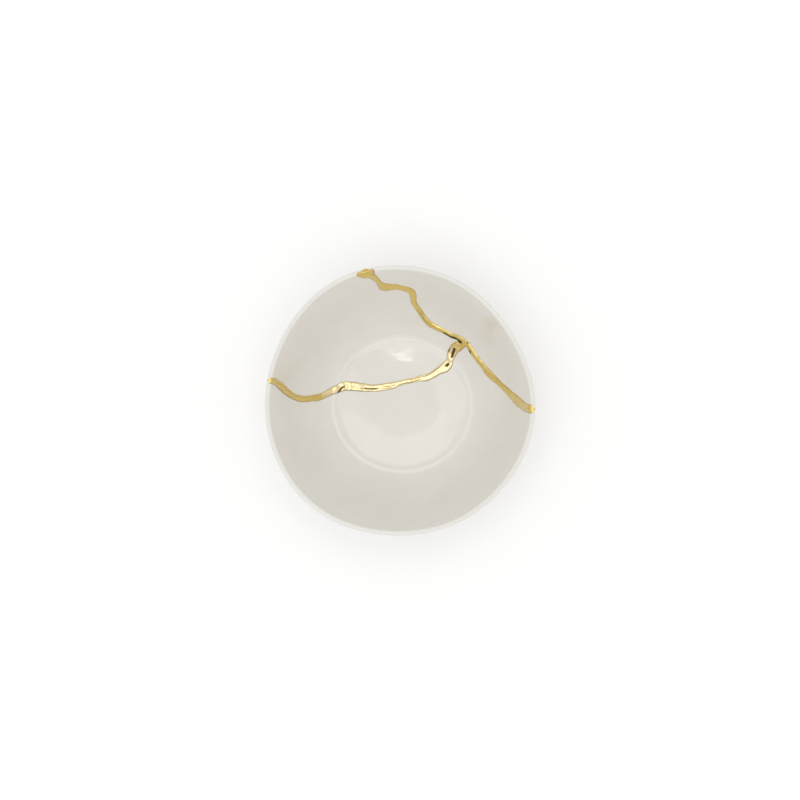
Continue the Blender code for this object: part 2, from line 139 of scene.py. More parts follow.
# Each seam's points: azimuth, reach and the gold's width as a share of SEAM_WIDTH
CHIP = (
    (103.8, 0.930, 1.3),
    (104.1, 0.955, 1.85),
    (104.3, 0.978, 2.3),
)
BACK_SEAM = (
    (102.6, 0.940, 1.15),
    (101.0, 0.890, 0.95),
    (99.9, 0.844, 0.75),
    (98.7, 0.808, 1.1),
    (96.8, 0.774, 2.05),
    (94.5, 0.770, 1.8),
    (91.5, 0.766, 1.4),
    (89.0, 0.755, 1.3),
    (86.2, 0.745, 1.35),
    (84.2, 0.723, 1.1),
    (83.3, 0.683, 0.95),
    (82.9, 0.640, 0.8),
    (82.0, 0.609, 0.8),
    (78.7, 0.563, 0.85),
    (76.2, 0.531, 0.8),
    (73.2, 0.506, 0.925),
    (70.2, 0.491, 0.95),
    (67.0, 0.486, 0.9),
    (60.0, 0.484, 0.775),
    (54.0, 0.488, 0.825),
    (49.5, 0.502, 0.9),
    (44.8, 0.510, 1.05),
    (41.2, 0.512, 0.85),
    (36.0, 0.503, 0.95),
    (31.0, 0.504, 0.85),
    (24.8, 0.514, 0.925),
    (20.5, 0.526, 1.1),
    (16.7, 0.548, 1.1),
    (13.4, 0.575, 1.0),
    (10.1, 0.607, 0.875),
    (6.8, 0.649, 1.025),
    (3.6, 0.701, 1.25),
    (1.0, 0.762, 1.45),
    (-1.2, 0.832, 1.35),
    (-2.7, 0.908, 1.2),
    (-3.5, 0.978, 1.1),
)
LEFT_SEAM = (
    (170.8, 0.978, 0.85),
    (170.8, 0.930, 0.9),
    (171.5, 0.883, 1.0),
    (172.2, 0.830, 1.15),
    (173.4, 0.777, 1.175),
    (174.9, 0.718, 1.0),
    (176.2, 0.663, 0.875),
    (177.0, 0.612, 0.85),
    (177.1, 0.563, 0.85),
    (176.3, 0.515, 0.825),
    (175.5, 0.473, 0.95),
    (173.8, 0.440, 0.85),
    (171.3, 0.411, 0.95),
    (168.6, 0.384, 1.0),
    (166.0, 0.357, 1.125),
    (162.7, 0.335, 1.25),
    (161.0, 0.309, 1.25),
    (159.0, 0.277, 1.25),
    (156.5, 0.236, 1.15),
    (152.0, 0.193, 1.0),
    (142.0, 0.154, 1.0),
    (123.0, 0.123, 1.0),
    (101.2, 0.120, 0.75),
    (83.4, 0.130, 0.65),
    (69.0, 0.145, 0.65),
    (58.0, 0.172, 0.75),
    (48.5, 0.200, 0.95),
    (44.5, 0.236, 1.0),
    (43.0, 0.273, 1.05),
    (41.3, 0.303, 1.3),
    (41.2, 0.331, 1.35),
    (42.8, 0.360, 1.0),
    (45.6, 0.395, 1.3),
    (46.5, 0.428, 1.45),
    (45.9, 0.457, 1.45),
    (44.8, 0.487, 1.25),
    (44.4, 0.510, 1.0),
)

# Which stretches of gold there are, and whether each starts and ends at the lip
PLANS = (
    ("back", BACK_SEAM, False, True),
    ("left", LEFT_SEAM, True, False),
    ("chip", CHIP, False, True),
)

# Painted shade and dark reflection along the gold's edges: how much, where it starts across the half width,
# and less on two sides
PAINTED_EDGE_SHADE = 0.80
EDGE_START = 0.80
EDGE_RUN = 0.19
FAR_EDGE = 0.91
OUTER_EDGE = 0.84

# Marks on the gold: radius, depth, how dark it is painted, and the line's points (azimuth, reach); lacquer on
# the black marks, painted shade and dark reflection in the grooves and creases
MARKS = (
    # a groove between two strands, with painted shade in it
    (0.00034, 0.00030, 0.60, (
        (80.2, 0.574), (77.7, 0.546), (74.4, 0.510), (70.4, 0.491), (66.5, 0.484), (58.7, 0.480),
    )),
    (0.00110, 0.00030, 1.00, (
        (58.6, 0.472), (55.2, 0.474), (52.4, 0.482), (49.7, 0.490), (46.6, 0.494),
    )),
    (0.00085, 0.00034, 1.00, ((46.5, 0.431), (45.3, 0.406), (43.6, 0.385))),
    (0.00055, 0.00022, 0.75, ((49.9, 0.415), (49.0, 0.397))),
    (0.00080, 0.00012, 1.00, ((37.6, 0.496), (37.0, 0.490))),
    (0.00060, 0.00012, 0.70, ((43.2, 0.528), (42.4, 0.524))),
    (0.00060, 0.00028, 1.00, ((169.2, 0.353), (165.1, 0.342), (162.5, 0.330))),
    # grooves along the gold, with painted shade and dark reflection in them
    (0.00034, 0.00026, 0.60, ((160.0, 0.268), (155.0, 0.205), (146.0, 0.155), (123.0, 0.110))),
    (0.00030, 0.00026, 0.55, (
        (101.0, 0.111), (83.0, 0.121), (69.0, 0.135), (57.0, 0.164), (49.0, 0.196),
    )),
    (0.00030, 0.00026, 0.60, (
        (72.0, 0.148), (60.0, 0.176), (51.5, 0.206), (47.5, 0.243), (46.0, 0.290),
    )),
    (0.00034, 0.00032, 0.85, (
        (156.0, 0.221), (151.9, 0.186), (145.7, 0.160), (133.2, 0.138), (110.0, 0.117),
    )),
    # a round dark pit
    (0.00090, 0.00035, 1.00, ((41.3, 0.338), (41.3, 0.327))),
    # a shallow groove with painted shade
    (0.00024, 0.00010, 0.80, ((53.5, 0.212), (49.0, 0.251), (46.4, 0.303))),
    # creases at the lip's inner edge, with painted shade in them
    (0.00034, 0.00018, 0.80, ((107.9, 0.985), (104.6, 0.985), (100.9, 0.987))),
    (0.00030, 0.00010, 0.60, ((169.1, 0.984), (172.2, 0.983))),
    (0.00035, 0.00012, 0.70, ((-2.9, 0.972), (-3.4, 0.966))),
    # no groove: painted shade that dims the bright top of the chip's lip
    (0.00090, 0.00000, 0.50, ((109.2, 0.995), (104.3, 0.997), (99.4, 0.995))),
)

# How the marks are laid on the gold: how high their lines run, how dense, and how their dark parts fade
MARK_LIFT = 0.6
MARK_SPACING = 4
MARK_ROOM = 0.003
MARK_CONTRAST = 1.6
MARK_FADE_START = 0.2

# The glaze's colours, its gloss and its slow clouds and ripples, as a number per metre
GLAZE_DEEP = (0.764, 0.742, 0.690)
GLAZE_LIGHT = (0.788, 0.766, 0.716)
GLAZE_ROUGHNESS = 0.10
GLAZE_CLOUDS = 45.0
GLAZE_RIPPLES = 110.0
RIPPLE_STRENGTH = 0.17
RIPPLE_DEPTH = 0.0006

# Painted shade on the lip: the darker colour the glaze near the lip is painted, and the heights between which
# it turns to that colour
LIP_PAINTED_SHADE = (0.738, 0.722, 0.676)
LIP_SHADE_HEIGHTS = (0.0570, 0.0592)

# A painted highlight along the crest of the well's ridge: its colour, radius and width
RIDGE_HIGHLIGHT_COLOUR = (0.815, 0.798, 0.750)
RIDGE_HIGHLIGHT_RADIUS = 0.0372
RIDGE_HIGHLIGHT_WIDTH = 0.0006

# The gold's colours, a paler colour painted on the gold in the well as a painted highlight, and the heights
# between which the wall's gold turns to it
GOLD_DEEP = (0.74, 0.550, 0.165)
GOLD_LIGHT = (0.82, 0.635, 0.225)
GOLD_PAINTED_HIGHLIGHT = (0.80, 0.655, 0.350)
WELL_HIGHLIGHT_AND_COAT_HEIGHTS = (0.0140, 0.0115)
LACQUER_AND_SHADE_COLOUR = (0.075, 0.040, 0.008)

# The gold's gloss, its coat on the wall and in the well, and its clouds and dents, as a number per metre
GOLD_ROUGHNESS = (0.18, 0.27)
GOLD_COAT = (0.35, 1.0)
GOLD_COAT_ROUGHNESS = 0.10
GOLD_CLOUDS = 260.0
GOLD_WEAR = 300.0
GOLD_DENTS = 210.0
DENT_STRENGTH = 0.8
DENT_DEPTH = 0.00080

# The part of the noise's range that is stretched to its whole effect
NOISE_MIDDLE = (0.3, 0.7)

# The angles in degrees past which an edge looks sharp
PORCELAIN_EDGE = 35
GOLD_EDGE = 50

# Sizes that follow from the ones above
LIP_RADIUS = WALL / 2
LEAN = np.array((math.sin(WALL_END), -math.cos(WALL_END)))
RISE = np.array((math.cos(WALL_END), math.sin(WALL_END)))
LIP_CENTRE = np.array((RIM_RADIUS - LIP_RADIUS, HEIGHT - LIP_RADIUS))
WALL_TOP = LIP_CENTRE - LIP_RADIUS * LEAN
WELL_EDGE = np.array((WELL_RADIUS, RECESS + FLOOR + WELL_DISH + STEP_HEIGHT))
WALL_FOOT = WELL_EDGE + WALL * np.array((math.sin(WALL_START), -math.cos(WALL_START)))
FOOT_RADIUS = WALL_FOOT[0] - FOOT_INSET
FOOT_INNER_TOP = FOOT_RADIUS - FOOT_WIDTH - FOOT_DRAFT
FOOT_OUTER_TOP = FOOT_RADIUS + FOOT_DRAFT
FOOT_MIDDLE = FOOT_RADIUS - FOOT_WIDTH / 2


def smooth_step(t):
    """A smooth rise from 0 to 1 while t goes from 0 to 1."""
    t = np.clip(t, 0.0, 1.0)
    return t * t * (3 - 2 * t)


def wall_curve(t):
    """The inner wall's points for t from 0 at the well's edge to 1 at the lip, and the ways into the wall."""
    t = np.asarray(t, float)[..., None]
    chord = np.linalg.norm(WALL_TOP - WELL_EDGE)
    low = WELL_EDGE + START_HOLD * chord * np.array((math.cos(WALL_START), math.sin(WALL_START)))
    high = WALL_TOP - END_HOLD * chord * RISE
    points = (
        (1 - t) ** 3 * WELL_EDGE
        + 3 * t * (1 - t) ** 2 * low
        + 3 * t * t * (1 - t) * high
        + t ** 3 * WALL_TOP
    )
    run = (1 - t) ** 2 * (low - WELL_EDGE) + 2 * t * (1 - t) * (high - low) + t * t * (WALL_TOP - high)
    run /= np.linalg.norm(run, axis=-1, keepdims=True)
    return points, np.stack((run[..., 1], -run[..., 0]), -1)


def ridge(radius):
    """The height of the low ridge that rings the well, gentle inside and steep outside."""
    past = radius - WELL_RADIUS + RIDGE_INSET
    return RIDGE_HEIGHT * np.exp(-(past / np.where(past < 0, RIDGE_INSIDE, RIDGE_OUTSIDE)) ** 2)


def well_floor(radius):
    """The height of the well's shallow dish, with the step up to the wall at its edge."""
    dish = WELL_DISH * np.maximum(0.0, (radius - WELL_FLAT) / (WELL_RADIUS - WELL_FLAT)) ** 2
    step = STEP_HEIGHT * smooth_step((radius - WELL_RADIUS + STEP_WIDTH) / STEP_WIDTH)
    return RECESS + FLOOR + dish + step + ridge(radius)


def ways_beside(points):
    """Unit vectors across a polyline of (radius, height), to the right of its run."""
    run = np.gradient(points, axis=0)
    run /= np.linalg.norm(run, axis=1, keepdims=True)
    return np.stack((run[:, 1], -run[:, 0]), 1)


def along(points):
    """The distance along a polyline to each of its points."""
    return np.concatenate(([0.0], np.cumsum(np.linalg.norm(np.diff(points, axis=0), axis=1))))


def resample(points, step):
    """A polyline's points at even distances of about a step."""
    lengths = along(points)
    count = max(2, int(round(lengths[-1] / step)) + 1)
    places = np.linspace(0.0, lengths[-1], count)
    return np.stack([np.interp(places, lengths, points[:, axis]) for axis in (0, 1)], 1)


def rounded(corners):
    """A fine polyline through corners given as (point, radius), each one rounded with its radius."""
    points = [np.array(corners[0][0])]
    for (before, _), (corner, radius), (after, _) in zip(corners, corners[1:], corners[2:]):
        corner = np.array(corner)
        back = np.array(before) - corner
        ahead = np.array(after) - corner
        back /= np.linalg.norm(back)
        ahead /= np.linalg.norm(ahead)
        half = math.acos(np.clip(back @ ahead, -1.0, 1.0)) / 2
        cut = radius / math.tan(half)
        middle = corner + (back + ahead) / np.linalg.norm(back + ahead) * radius / math.sin(half)
        start = corner + back * cut - middle
        end = corner + ahead * cut - middle
        sweep = math.pi - 2 * half
        for share in np.linspace(0.0, 1.0, ARC_POINTS):
            arc = math.sin((1 - share) * sweep) * start + math.sin(share * sweep) * end
            points.append(middle + arc / math.sin(sweep))
    points.append(np.array(corners[-1][0]))
    return np.array(points)


def underside_outline():
    """The underside from the middle out, over the rounded foot ring, to where the outer wall starts."""
    return rounded((
        ((0.0, RECESS), 0.0),
        ((FOOT_INNER_TOP, RECESS), FOOT_ROUND),
        ((FOOT_RADIUS - FOOT_WIDTH, 0.0), FOOT_ROUND),
        ((FOOT_RADIUS, 0.0), FOOT_ROUND),
        ((FOOT_OUTER_TOP, FOOT_HEIGHT), FOOT_FILLET),
        (tuple(WALL_FOOT), 0.0),
    ))


UNDERSIDE = underside_outline()


def inner_outline():
    """The inner surface as three fine polylines: the well, the wall and half the lip, up to its top."""
    radius = np.linspace(0.0, WELL_RADIUS, SAMPLES)
    well = np.stack((radius, well_floor(radius)), 1)
    wall, _ = wall_curve(np.linspace(0.0, 1.0, SAMPLES)[1:])
    wall[:, 1] += ridge(wall[:, 0])
    angle = np.linspace(0.0, math.pi / 2, LIP_SAMPLES)[1:, None]
    lip = LIP_CENTRE - LIP_RADIUS * np.cos(angle) * LEAN + LIP_RADIUS * np.sin(angle) * RISE
    return well, wall, lip


def drop_to_underside(points, ways):
    """Where lines that run down from points in the well meet the underside."""
    low = np.zeros(len(points))
    high = points[:, 1] / -ways[:, 1]
    for _ in range(HALVINGS):
        middle = (low + high) / 2
        at = points + middle[:, None] * ways
        above = at[:, 1] > np.interp(at[:, 0], UNDERSIDE[:, 0], UNDERSIDE[:, 1])
        low = np.where(above, middle, low)
        high = np.where(above, high, middle)
    return points + low[:, None] * ways


class Section:
    """The bowl's half section, as tables over the distance along the inner surface."""

    def __init__(self):
        well, wall, lip = inner_outline()
        inner = np.concatenate((well, wall, lip))
        lean = WALL_START * np.clip((well[:, 0] - FOOT_MIDDLE) / (WELL_RADIUS - FOOT_MIDDLE), 0.0, 1.0)
        floor = drop_to_underside(well, np.stack((np.sin(lean), -np.cos(lean)), 1))
        points, ways = wall_curve(np.linspace(0.0, 1.0, SAMPLES)[1:])
        angle = np.linspace(0.0, math.pi / 2, LIP_SAMPLES)[1:, None]
        over = LIP_CENTRE + LIP_RADIUS * np.cos(angle) * LEAN + LIP_RADIUS * np.sin(angle) * RISE
        outer = np.concatenate((floor, points + WALL * ways, over))
        self.distance = along(inner)
        self.inner = inner
        self.inner_way = -ways_beside(inner)
        self.outer = outer
        self.outer_way = ways_beside(outer)
        self.whole = self.distance[-1]
        self.top = self.distance[len(well) + len(wall) - 1]
        self.well_edge = self.distance[len(well) - 1]

    def read(self, table, distance):
        """A table's two columns at distances along the inner surface."""
        return np.stack([np.interp(distance, self.distance, table[:, axis]) for axis in (0, 1)], -1)


section = Section()


def waves(azimuth, crests):
    """How far a ring stands off its circle, as a share of its radius."""
    return sum(
        share * np.cos(count * (azimuth - math.radians(at)))
        for count, (share, at) in crests.items()
    )


def rim_offset():
    """How far the waves leave the middle of the rim's outline from the axis."""
    azimuth = np.radians(np.arange(360))
    radius = RIM_RADIUS * (1 + waves(azimuth, RIM_WAVES))
    x = radius * np.cos(azimuth)
    y = radius * np.sin(azimuth)
    return (x.min() + x.max()) / 2, (y.min() + y.max()) / 2


RIM_OFFSET = rim_offset()


def spread(azimuth, share):
    """How many times wider than the turned form the bowl is, for shares of the way from base to rim."""
    base = 1 + waves(azimuth, BASE_WAVES)
    rim = 1 + waves(azimuth, RIM_WAVES)
    return base + (rim - base) * share


def place(azimuth, profile):
    """Points of the hand-thrown bowl from azimuths in radians and (radius, height) of the turned form."""
    radius, height = profile[..., 0], profile[..., 1]
    share = smooth_step(height / HEIGHT)
    radius = radius * spread(azimuth, share)
    x = radius * np.cos(azimuth) - RIM_OFFSET[0] * share
    y = radius * np.sin(azimuth) - RIM_OFFSET[1] * share
    return np.stack(np.broadcast_arrays(x, y, height), -1)


def painted_ridge_highlight(points):
    """How much painted highlight lies at points of the bowl, from 0 to 1 on the crest of the well's ridge."""
    share = smooth_step(points[:, 2] / HEIGHT)
    x = points[:, 0] + RIM_OFFSET[0] * share
    y = points[:, 1] + RIM_OFFSET[1] * share
    radius = np.hypot(x, y) / spread(np.arctan2(y, x), share)
    in_well = points[:, 2] > RECESS + FLOOR + WELL_DISH
    return in_well * np.exp(-((radius - RIDGE_HIGHLIGHT_RADIUS) / RIDGE_HIGHLIGHT_WIDTH) ** 2)


def bowl_outline():
    """The turned outline, from the middle of the well over the lip and down to the underside's middle."""
    start = section.well_edge - RIDGE_INSIDE
    end = section.well_edge + 3 * RIDGE_OUTSIDE
    places = np.concatenate((
        np.linspace(0.0, start, int(start / SURFACE_STEP)),
        np.linspace(start, end, int((end - start) / FINE_STEP))[1:],
        np.linspace(end, section.top, int((section.top - end) / SURFACE_STEP))[1:],
        np.linspace(section.top, section.whole, LIP_STEPS)[1:],
    ))
    inner = section.read(section.inner, places)
    over = section.read(section.outer, np.linspace(section.whole, section.top, LIP_STEPS)[1:])
    wall = section.read(section.outer, np.linspace(section.top, section.well_edge, WALL_ROWS)[1:])
    foot = resample(UNDERSIDE[::-1], FINE_STEP)[1:]
    flat = foot[:, 0] < FOOT_INNER_TOP - FOOT_ROUND
    foot = np.concatenate((foot[~flat], resample(foot[flat], SURFACE_STEP)))
    foot[-1] = (0.0, RECESS)
    return np.concatenate((inner, over, wall, foot))


def new_object(name, vertices, faces):
    """A mesh object in the scene."""
    data = bpy.data.meshes.new(name)
    data.from_pydata([tuple(v) for v in vertices], [], faces)
    data.validate()
    solid = bpy.data.objects.new(name, data)
    bpy.context.scene.collection.objects.link(solid)
    return solid


def turned_bowl():
    """The whole bowl as one fine closed mesh."""
    outline = bowl_outline()
    azimuth = np.arange(TURNS) * 2 * math.pi / TURNS
    rings = place(azimuth[None, :], outline[1:-1][:, None, :])
    count = len(rings)
    vertices = [*rings.reshape(-1, 3), place(0.0, outline[0]), place(0.0, outline[-1])]
    first = count * TURNS
    last = first + 1
    faces = []
    for j in range(TURNS):
        k = (j + 1) % TURNS
        faces.append((first, j, k))
        faces.append((last, first - TURNS + k, first - TURNS + j))
        for low in range(0, first - TURNS, TURNS):
            high = low + TURNS
            faces.append((low + j, high + j, high + k, low + k))
    return new_object("bowl", vertices, faces)


def curve_through(points):
    """Samples of a smooth curve through points, with each stretch a cubic that its neighbours steer."""
    points = np.asarray(points, float)
    padded = np.concatenate((points[:1], points, points[-1:]))
    t = (np.arange(CURVE_STEPS) / CURVE_STEPS)[:, None]
    samples = []
    for a, b, c, d in zip(padded, padded[1:], padded[2:], padded[3:]):
        square = 2 * a - 5 * b + 4 * c - d
        cube = 3 * b - a - 3 * c + d
        samples.append(0.5 * (2 * b + (c - a) * t + square * t ** 2 + cube * t ** 3))
    return np.concatenate((*samples, points[-1:]))


def laid_flat(azimuth, reach):
    """Places on the bowl, by azimuth in degrees and reach, as x and y on a plan of its flattened surface."""
    angle = np.radians(azimuth)
    distance = reach * section.whole
    return distance * np.cos(angle), distance * np.sin(angle)


def seam_line(controls, spacing):
    """A seam's stations at an even spacing: azimuth, distance, half width, and the unit vector across it."""
    azimuth, reach, width = np.array(controls).T
    line = curve_through(np.stack((*laid_flat(azimuth, reach), width), 1))
    distance = np.hypot(line[:, 0], line[:, 1])
    angle = np.unwrap(np.arctan2(line[:, 1], line[:, 0]))
    inner = place(angle, section.read(section.inner, distance))
    outer = place(angle, section.read(section.outer, distance))
    steps = [np.linalg.norm(np.diff(side, axis=0), axis=1) for side in (inner, outer)]
    lengths = np.concatenate(([0.0], np.cumsum(np.maximum(*steps))))
    places = np.linspace(0.0, lengths[-1], int(lengths[-1] / spacing) + 1)
    angle = np.interp(places, lengths, angle)
    distance = np.interp(places, lengths, distance)
    width = np.interp(places, lengths, line[:, 2])
    radius = section.read(section.inner, distance)[:, 0]
    turn = np.gradient(angle) * radius
    rise = np.gradient(distance)
    run = np.hypot(turn, rise)
    return angle, distance, width * SEAM_WIDTH / 2, np.stack((-rise / run, turn / run), 1)


def with_lip(line, at_start, at_end, sections):
    """A seam's line, carried on over the lip at the ends that reach it."""
    angle, distance, half, across = line
    climb = np.linspace(section.top, section.whole, sections + 1)[1:]
    ones = np.ones(sections)
    if at_start:
        angle = np.concatenate((angle[0] * ones, angle))
        distance = np.concatenate((climb[::-1], distance))
        half = np.concatenate((half[0] * ones, half))
        across = np.concatenate((np.tile((1.0, 0.0), (sections, 1)), across))
    if at_end:
        angle = np.concatenate((angle, angle[-1] * ones))
        distance = np.concatenate((distance, climb))
        half = np.concatenate((half, half[-1] * ones))
        across = np.concatenate((across, np.tile((-1.0, 0.0), (sections, 1))))
    return angle, distance, half, across


def beside(line, offset):
    """Azimuths and distances at signed offsets across a seam."""
    angle, distance, _, across = line
    radius = np.maximum(section.read(section.inner, distance)[:, 0], STATION)
    return angle + offset * across[:, 0] / radius, distance + offset * across[:, 1]


def web_half(half):
    """Half the width of the gold that fills the crack, under a bead of a given half width."""
    return np.maximum(WEB_WIDTH / 2, half - LONGEST_LAP)


def outer_share(distance):
    """The gold's width outside as a share of its width inside: it thins out below the lip's far side."""
    return 1 - (1 - END_SHARE) * smooth_step((distance - section.top + END_FADE) / END_FADE)


def proud(line, offset, height, table, way):
    """Points at offsets across a seam, a height above the inner or the outer surface."""
    angle, distance = beside(line, offset)
    profile = section.read(table, distance) + height[:, None] * section.read(way, distance)
    return place(angle, profile)


def uneven(ways, seed, size):
    """A smooth irregular value between about -1 and 1 at each way along a seam, for lumps of a given size."""
    return np.array([noise.noise((way / size, NOISE_ROW * seed, NOISE_LEVEL)) for way in ways])


def rounding(shares):
    """The bead's height across its width as a share of its full height, for shares of the half width."""
    return (1 - np.abs(shares) ** BEAD_FULLNESS) ** BEAD_SHOULDER


def bead(line, sides, height, surface, shares):
    """Rows of points across a bead of gold on a surface, its two edges sunk a little into the porcelain."""
    left, right = sides
    rows = []
    for share in shares:
        offset = share * (left if share < 0 else right)
        rise = rounding(share) * height - SUNK * (abs(share) > NEAR_EDGE)
        rows.append(proud(line, offset, rise, *surface))
    return rows


def gold_grid(line, seed):
    """The rings of points of a stretch of gold, and how near each is to the bead's edge.

    Each ring has a bead inside, the web through the crack and a bead outside.
    """
    _, distance, half, _ = line
    way = STATION * np.arange(len(half))
    web = web_half(half)
    sunk = -SUNK * np.ones(len(half))
    from_lip = smooth_step((section.top - distance) / LIP_FADE)
    height = LIP_HEIGHT + (BEAD_HEIGHT - LIP_HEIGHT) * from_lip
    height = height * (1 + HEIGHT_UNEVENNESS * uneven(way, seed, HEIGHT_LUMPS))
    left = half * (1 + EDGE_UNEVENNESS * uneven(way, seed + 1, EDGE_LUMPS))
    right = half * (1 + EDGE_UNEVENNESS * uneven(way, seed + 2, EDGE_LUMPS))
    outer_radius = section.read(section.outer, distance)[:, 0]
    from_foot = np.maximum(FOOT_INNER_TOP - outer_radius, outer_radius - FOOT_OUTER_TOP)
    off_foot = smooth_step(from_foot / FOOT_FADE - FOOT_FADE_START)
    outer_height = LIP_HEIGHT + (OUTER_HEIGHT - LIP_HEIGHT) * from_lip
    outer_height = FOOT_BEAD_HEIGHT + (outer_height - FOOT_BEAD_HEIGHT) * off_foot
    inside = (section.inner, section.inner_way)
    outside = (section.outer, section.outer_way)
    narrower = outer_share(distance)
    to_end = np.clip((section.whole - distance) / END_ROUNDING, 0.0, 1.0)
    corner = np.where(distance > section.top, END_CORNER * (1 - np.sqrt(1 - (1 - to_end) ** 2)), 0.0)
    left = left - corner
    right = right - corner
    web = np.maximum(web - corner, WEB_WIDTH / 4)
    climb = np.clip((distance - section.top) / (section.whole - section.top), 0.0, 1.0) * math.pi / 2
    depth = 0.5 - 0.5 * np.cos(climb)
    web_inside = web * (1 - (1 - narrower) * depth)
    web_outside = web * (1 - (1 - narrower) * (1 - depth))
    left_outside = np.maximum(narrower * left, web_outside + LEAST_LAP)
    right_outside = np.maximum(narrower * right, web_outside + LEAST_LAP)
    across = -np.cos(np.linspace(0.0, math.pi, BEAD_STEPS + 1))
    back = np.cos(np.linspace(0.0, math.pi, OUTER_STEPS + 1))
    ring = [
        proud(line, -web_inside, sunk, *inside),
        *bead(line, (left, right), height, inside, across),
        proud(line, web_inside, sunk, *inside),
        proud(line, web_outside, sunk, *outside),
        *bead(line, (left_outside, right_outside), outer_height, outside, back),
        proud(line, -web_outside, sunk, *outside),
    ]
    # How near each point is to the bead's edge, weaker on one flank and outside, for the painted shade along
    # the edges
    edges = [
        1.0,
        *np.maximum(across, -FAR_EDGE * across),
        1.0,
        1.0,
        *(OUTER_EDGE * np.abs(back)),
        1.0,
    ]
    return np.stack(ring, 1), np.tile(edges, (len(half), 1))


def loft(name, grid):
    """A closed solid through rows of points, with its ends capped and what coincides welded."""
    rows, columns = grid.shape[:2]
    faces = []
    for i in range(rows - 1):
        low = i * columns
        high = low + columns
        for j in range(columns):
            k = (j + 1) % columns
            faces.append((low + j, low + k, high + k, high + j))
    faces.append(tuple(range(columns)))
    faces.append(tuple((rows - 1) * columns + j for j in reversed(range(columns))))
    solid = new_object(name, grid.reshape(-1, 3), faces)
    mesh = bmesh.new()
    mesh.from_mesh(solid.data)
    bmesh.ops.remove_doubles(mesh, verts=mesh.verts, dist=WELD)
    bmesh.ops.recalc_face_normals(mesh, faces=mesh.faces)
    mesh.to_mesh(solid.data)
    mesh.free()
    return solid


def crack_cutter(name, line):
    """The ribbon that cuts a crack through the whole wall, narrower outside where the gold is."""
    web = web_half(line[2])
    narrow = web * outer_share(line[1])
    room = SLOT_ROOM * outer_share(line[1])
    near_lip = smooth_step((line[1] - section.top + 2 * END_FADE) / END_FADE)
    reach = CUT_REACH - CUT_REACH_LESS * near_lip
    taper = (web - narrow) * reach / WALL
    inside_half = web + taper + SLOT_ROOM
    outside_half = np.maximum(narrow - taper, 0.0) + room
    sides = []
    for side, order in ((-1, 1), (1, -1)):
        ends = []
        for half, inside in ((inside_half, True), (outside_half, False)):
            angle, distance = beside(line, side * half)
            held = np.minimum(distance, section.top)
            above = np.maximum(0.0, distance - section.top)[:, None] * RISE
            outer = section.read(section.outer, held)
            deep = np.where(outer[:, 0] > FOOT_OUTER_TOP, reach, reach + FOOT_HEIGHT)
            inner = section.read(section.inner, held)
            through = outer - inner
            through /= np.linalg.norm(through, axis=1, keepdims=True)
            end = inner - reach[:, None] * through if inside else outer + deep[:, None] * through
            ends.append(place(angle, above + end))
        sides += ends[::order]
    return loft(name, np.stack(sides, 1))


def boolean(solid, other, operation):
    """Joins or cuts a solid with another, and removes the other."""
    modifier = solid.modifiers.new("boolean", "BOOLEAN")
    modifier.operation = operation
    modifier.solver = "EXACT"
    modifier.object = other
    graph = bpy.context.evaluated_depsgraph_get()
    data = bpy.data.meshes.new_from_object(solid.evaluated_get(graph))
    solid.modifiers.clear()
    solid.data = data
    bpy.data.objects.remove(other)


def cut_line(line, at_start, at_end):
    """A crack's line, carried straight up past the lip at the ends that reach it."""
    angle, distance, half, across = with_lip(line, at_start, at_end, 1)
    past = section.whole + CUT_PAST_LIP
    if at_start:
        distance[0] = past
    if at_end:
        distance[-1] = past
    return angle, distance, half, across


def loose_parts(mesh):
    """The sets of vertices of a bmesh that hang together."""
    waiting = set(mesh.verts)
    parts = []
    while waiting:
        stack = [waiting.pop()]
        part = set(stack)
        while stack:
            for edge in stack.pop().link_edges:
                for vertex in edge.verts:
                    if vertex in waiting:
                        waiting.remove(vertex)
                        part.add(vertex)
                        stack.append(vertex)
        parts.append(part)
    return parts


def sherd_name(part):
    """Names a sherd by where its middle lies."""
    x = sum(vertex.co.x for vertex in part) / len(part)
    y = sum(vertex.co.y for vertex in part) / len(part)
    if y < 0:
        return "front_sherd"
    return "back_right_sherd" if x > 0 else "back_left_sherd"


def place_in_mesh(element):
    """The number of a bmesh vertex or face in its mesh, to sort by."""
    return element.index


def store(piece, name, values):
    """Keeps a value for each of a piece's vertices, for its material to read."""
    piece.data.attributes.new(name, "FLOAT", "POINT").data.foreach_set("value", values)


def sherds():
    """The three fine sherds, cut from the turned bowl, each with the node that it stands for."""
    bowl = turned_bowl()
    for name, controls, at_start, at_end in PLANS:
        line = cut_line(seam_line(controls, CUT_STATION), at_start, at_end)
        boolean(bowl, crack_cutter(name, line), "DIFFERENCE")
    whole = bmesh.new()
    whole.from_mesh(bowl.data)
    whole.verts.index_update()
    whole.faces.index_update()
    pieces = []
    parts = [sorted(part, key=place_in_mesh) for part in loose_parts(whole)]
    for part in sorted(parts, key=lambda part: part[0].index):
        copies = {vertex: i for i, vertex in enumerate(part)}
        faces = {face for vertex in part for face in vertex.link_faces}
        faces = [
            tuple(copies[vertex] for vertex in face.verts)
            for face in sorted(faces, key=place_in_mesh)
        ]
        node = sherd_name(part)
        piece = new_object("glazed_" + node, [vertex.co for vertex in part], faces)
        # how much painted highlight each vertex gets, on the crest of the well's ridge
        store(piece, "painted_ridge_highlight", painted_ridge_highlight(np.array([vertex.co[:] for vertex in part])))
        pieces.append((piece, node))
    whole.free()
    bpy.data.objects.remove(bowl)
    return pieces


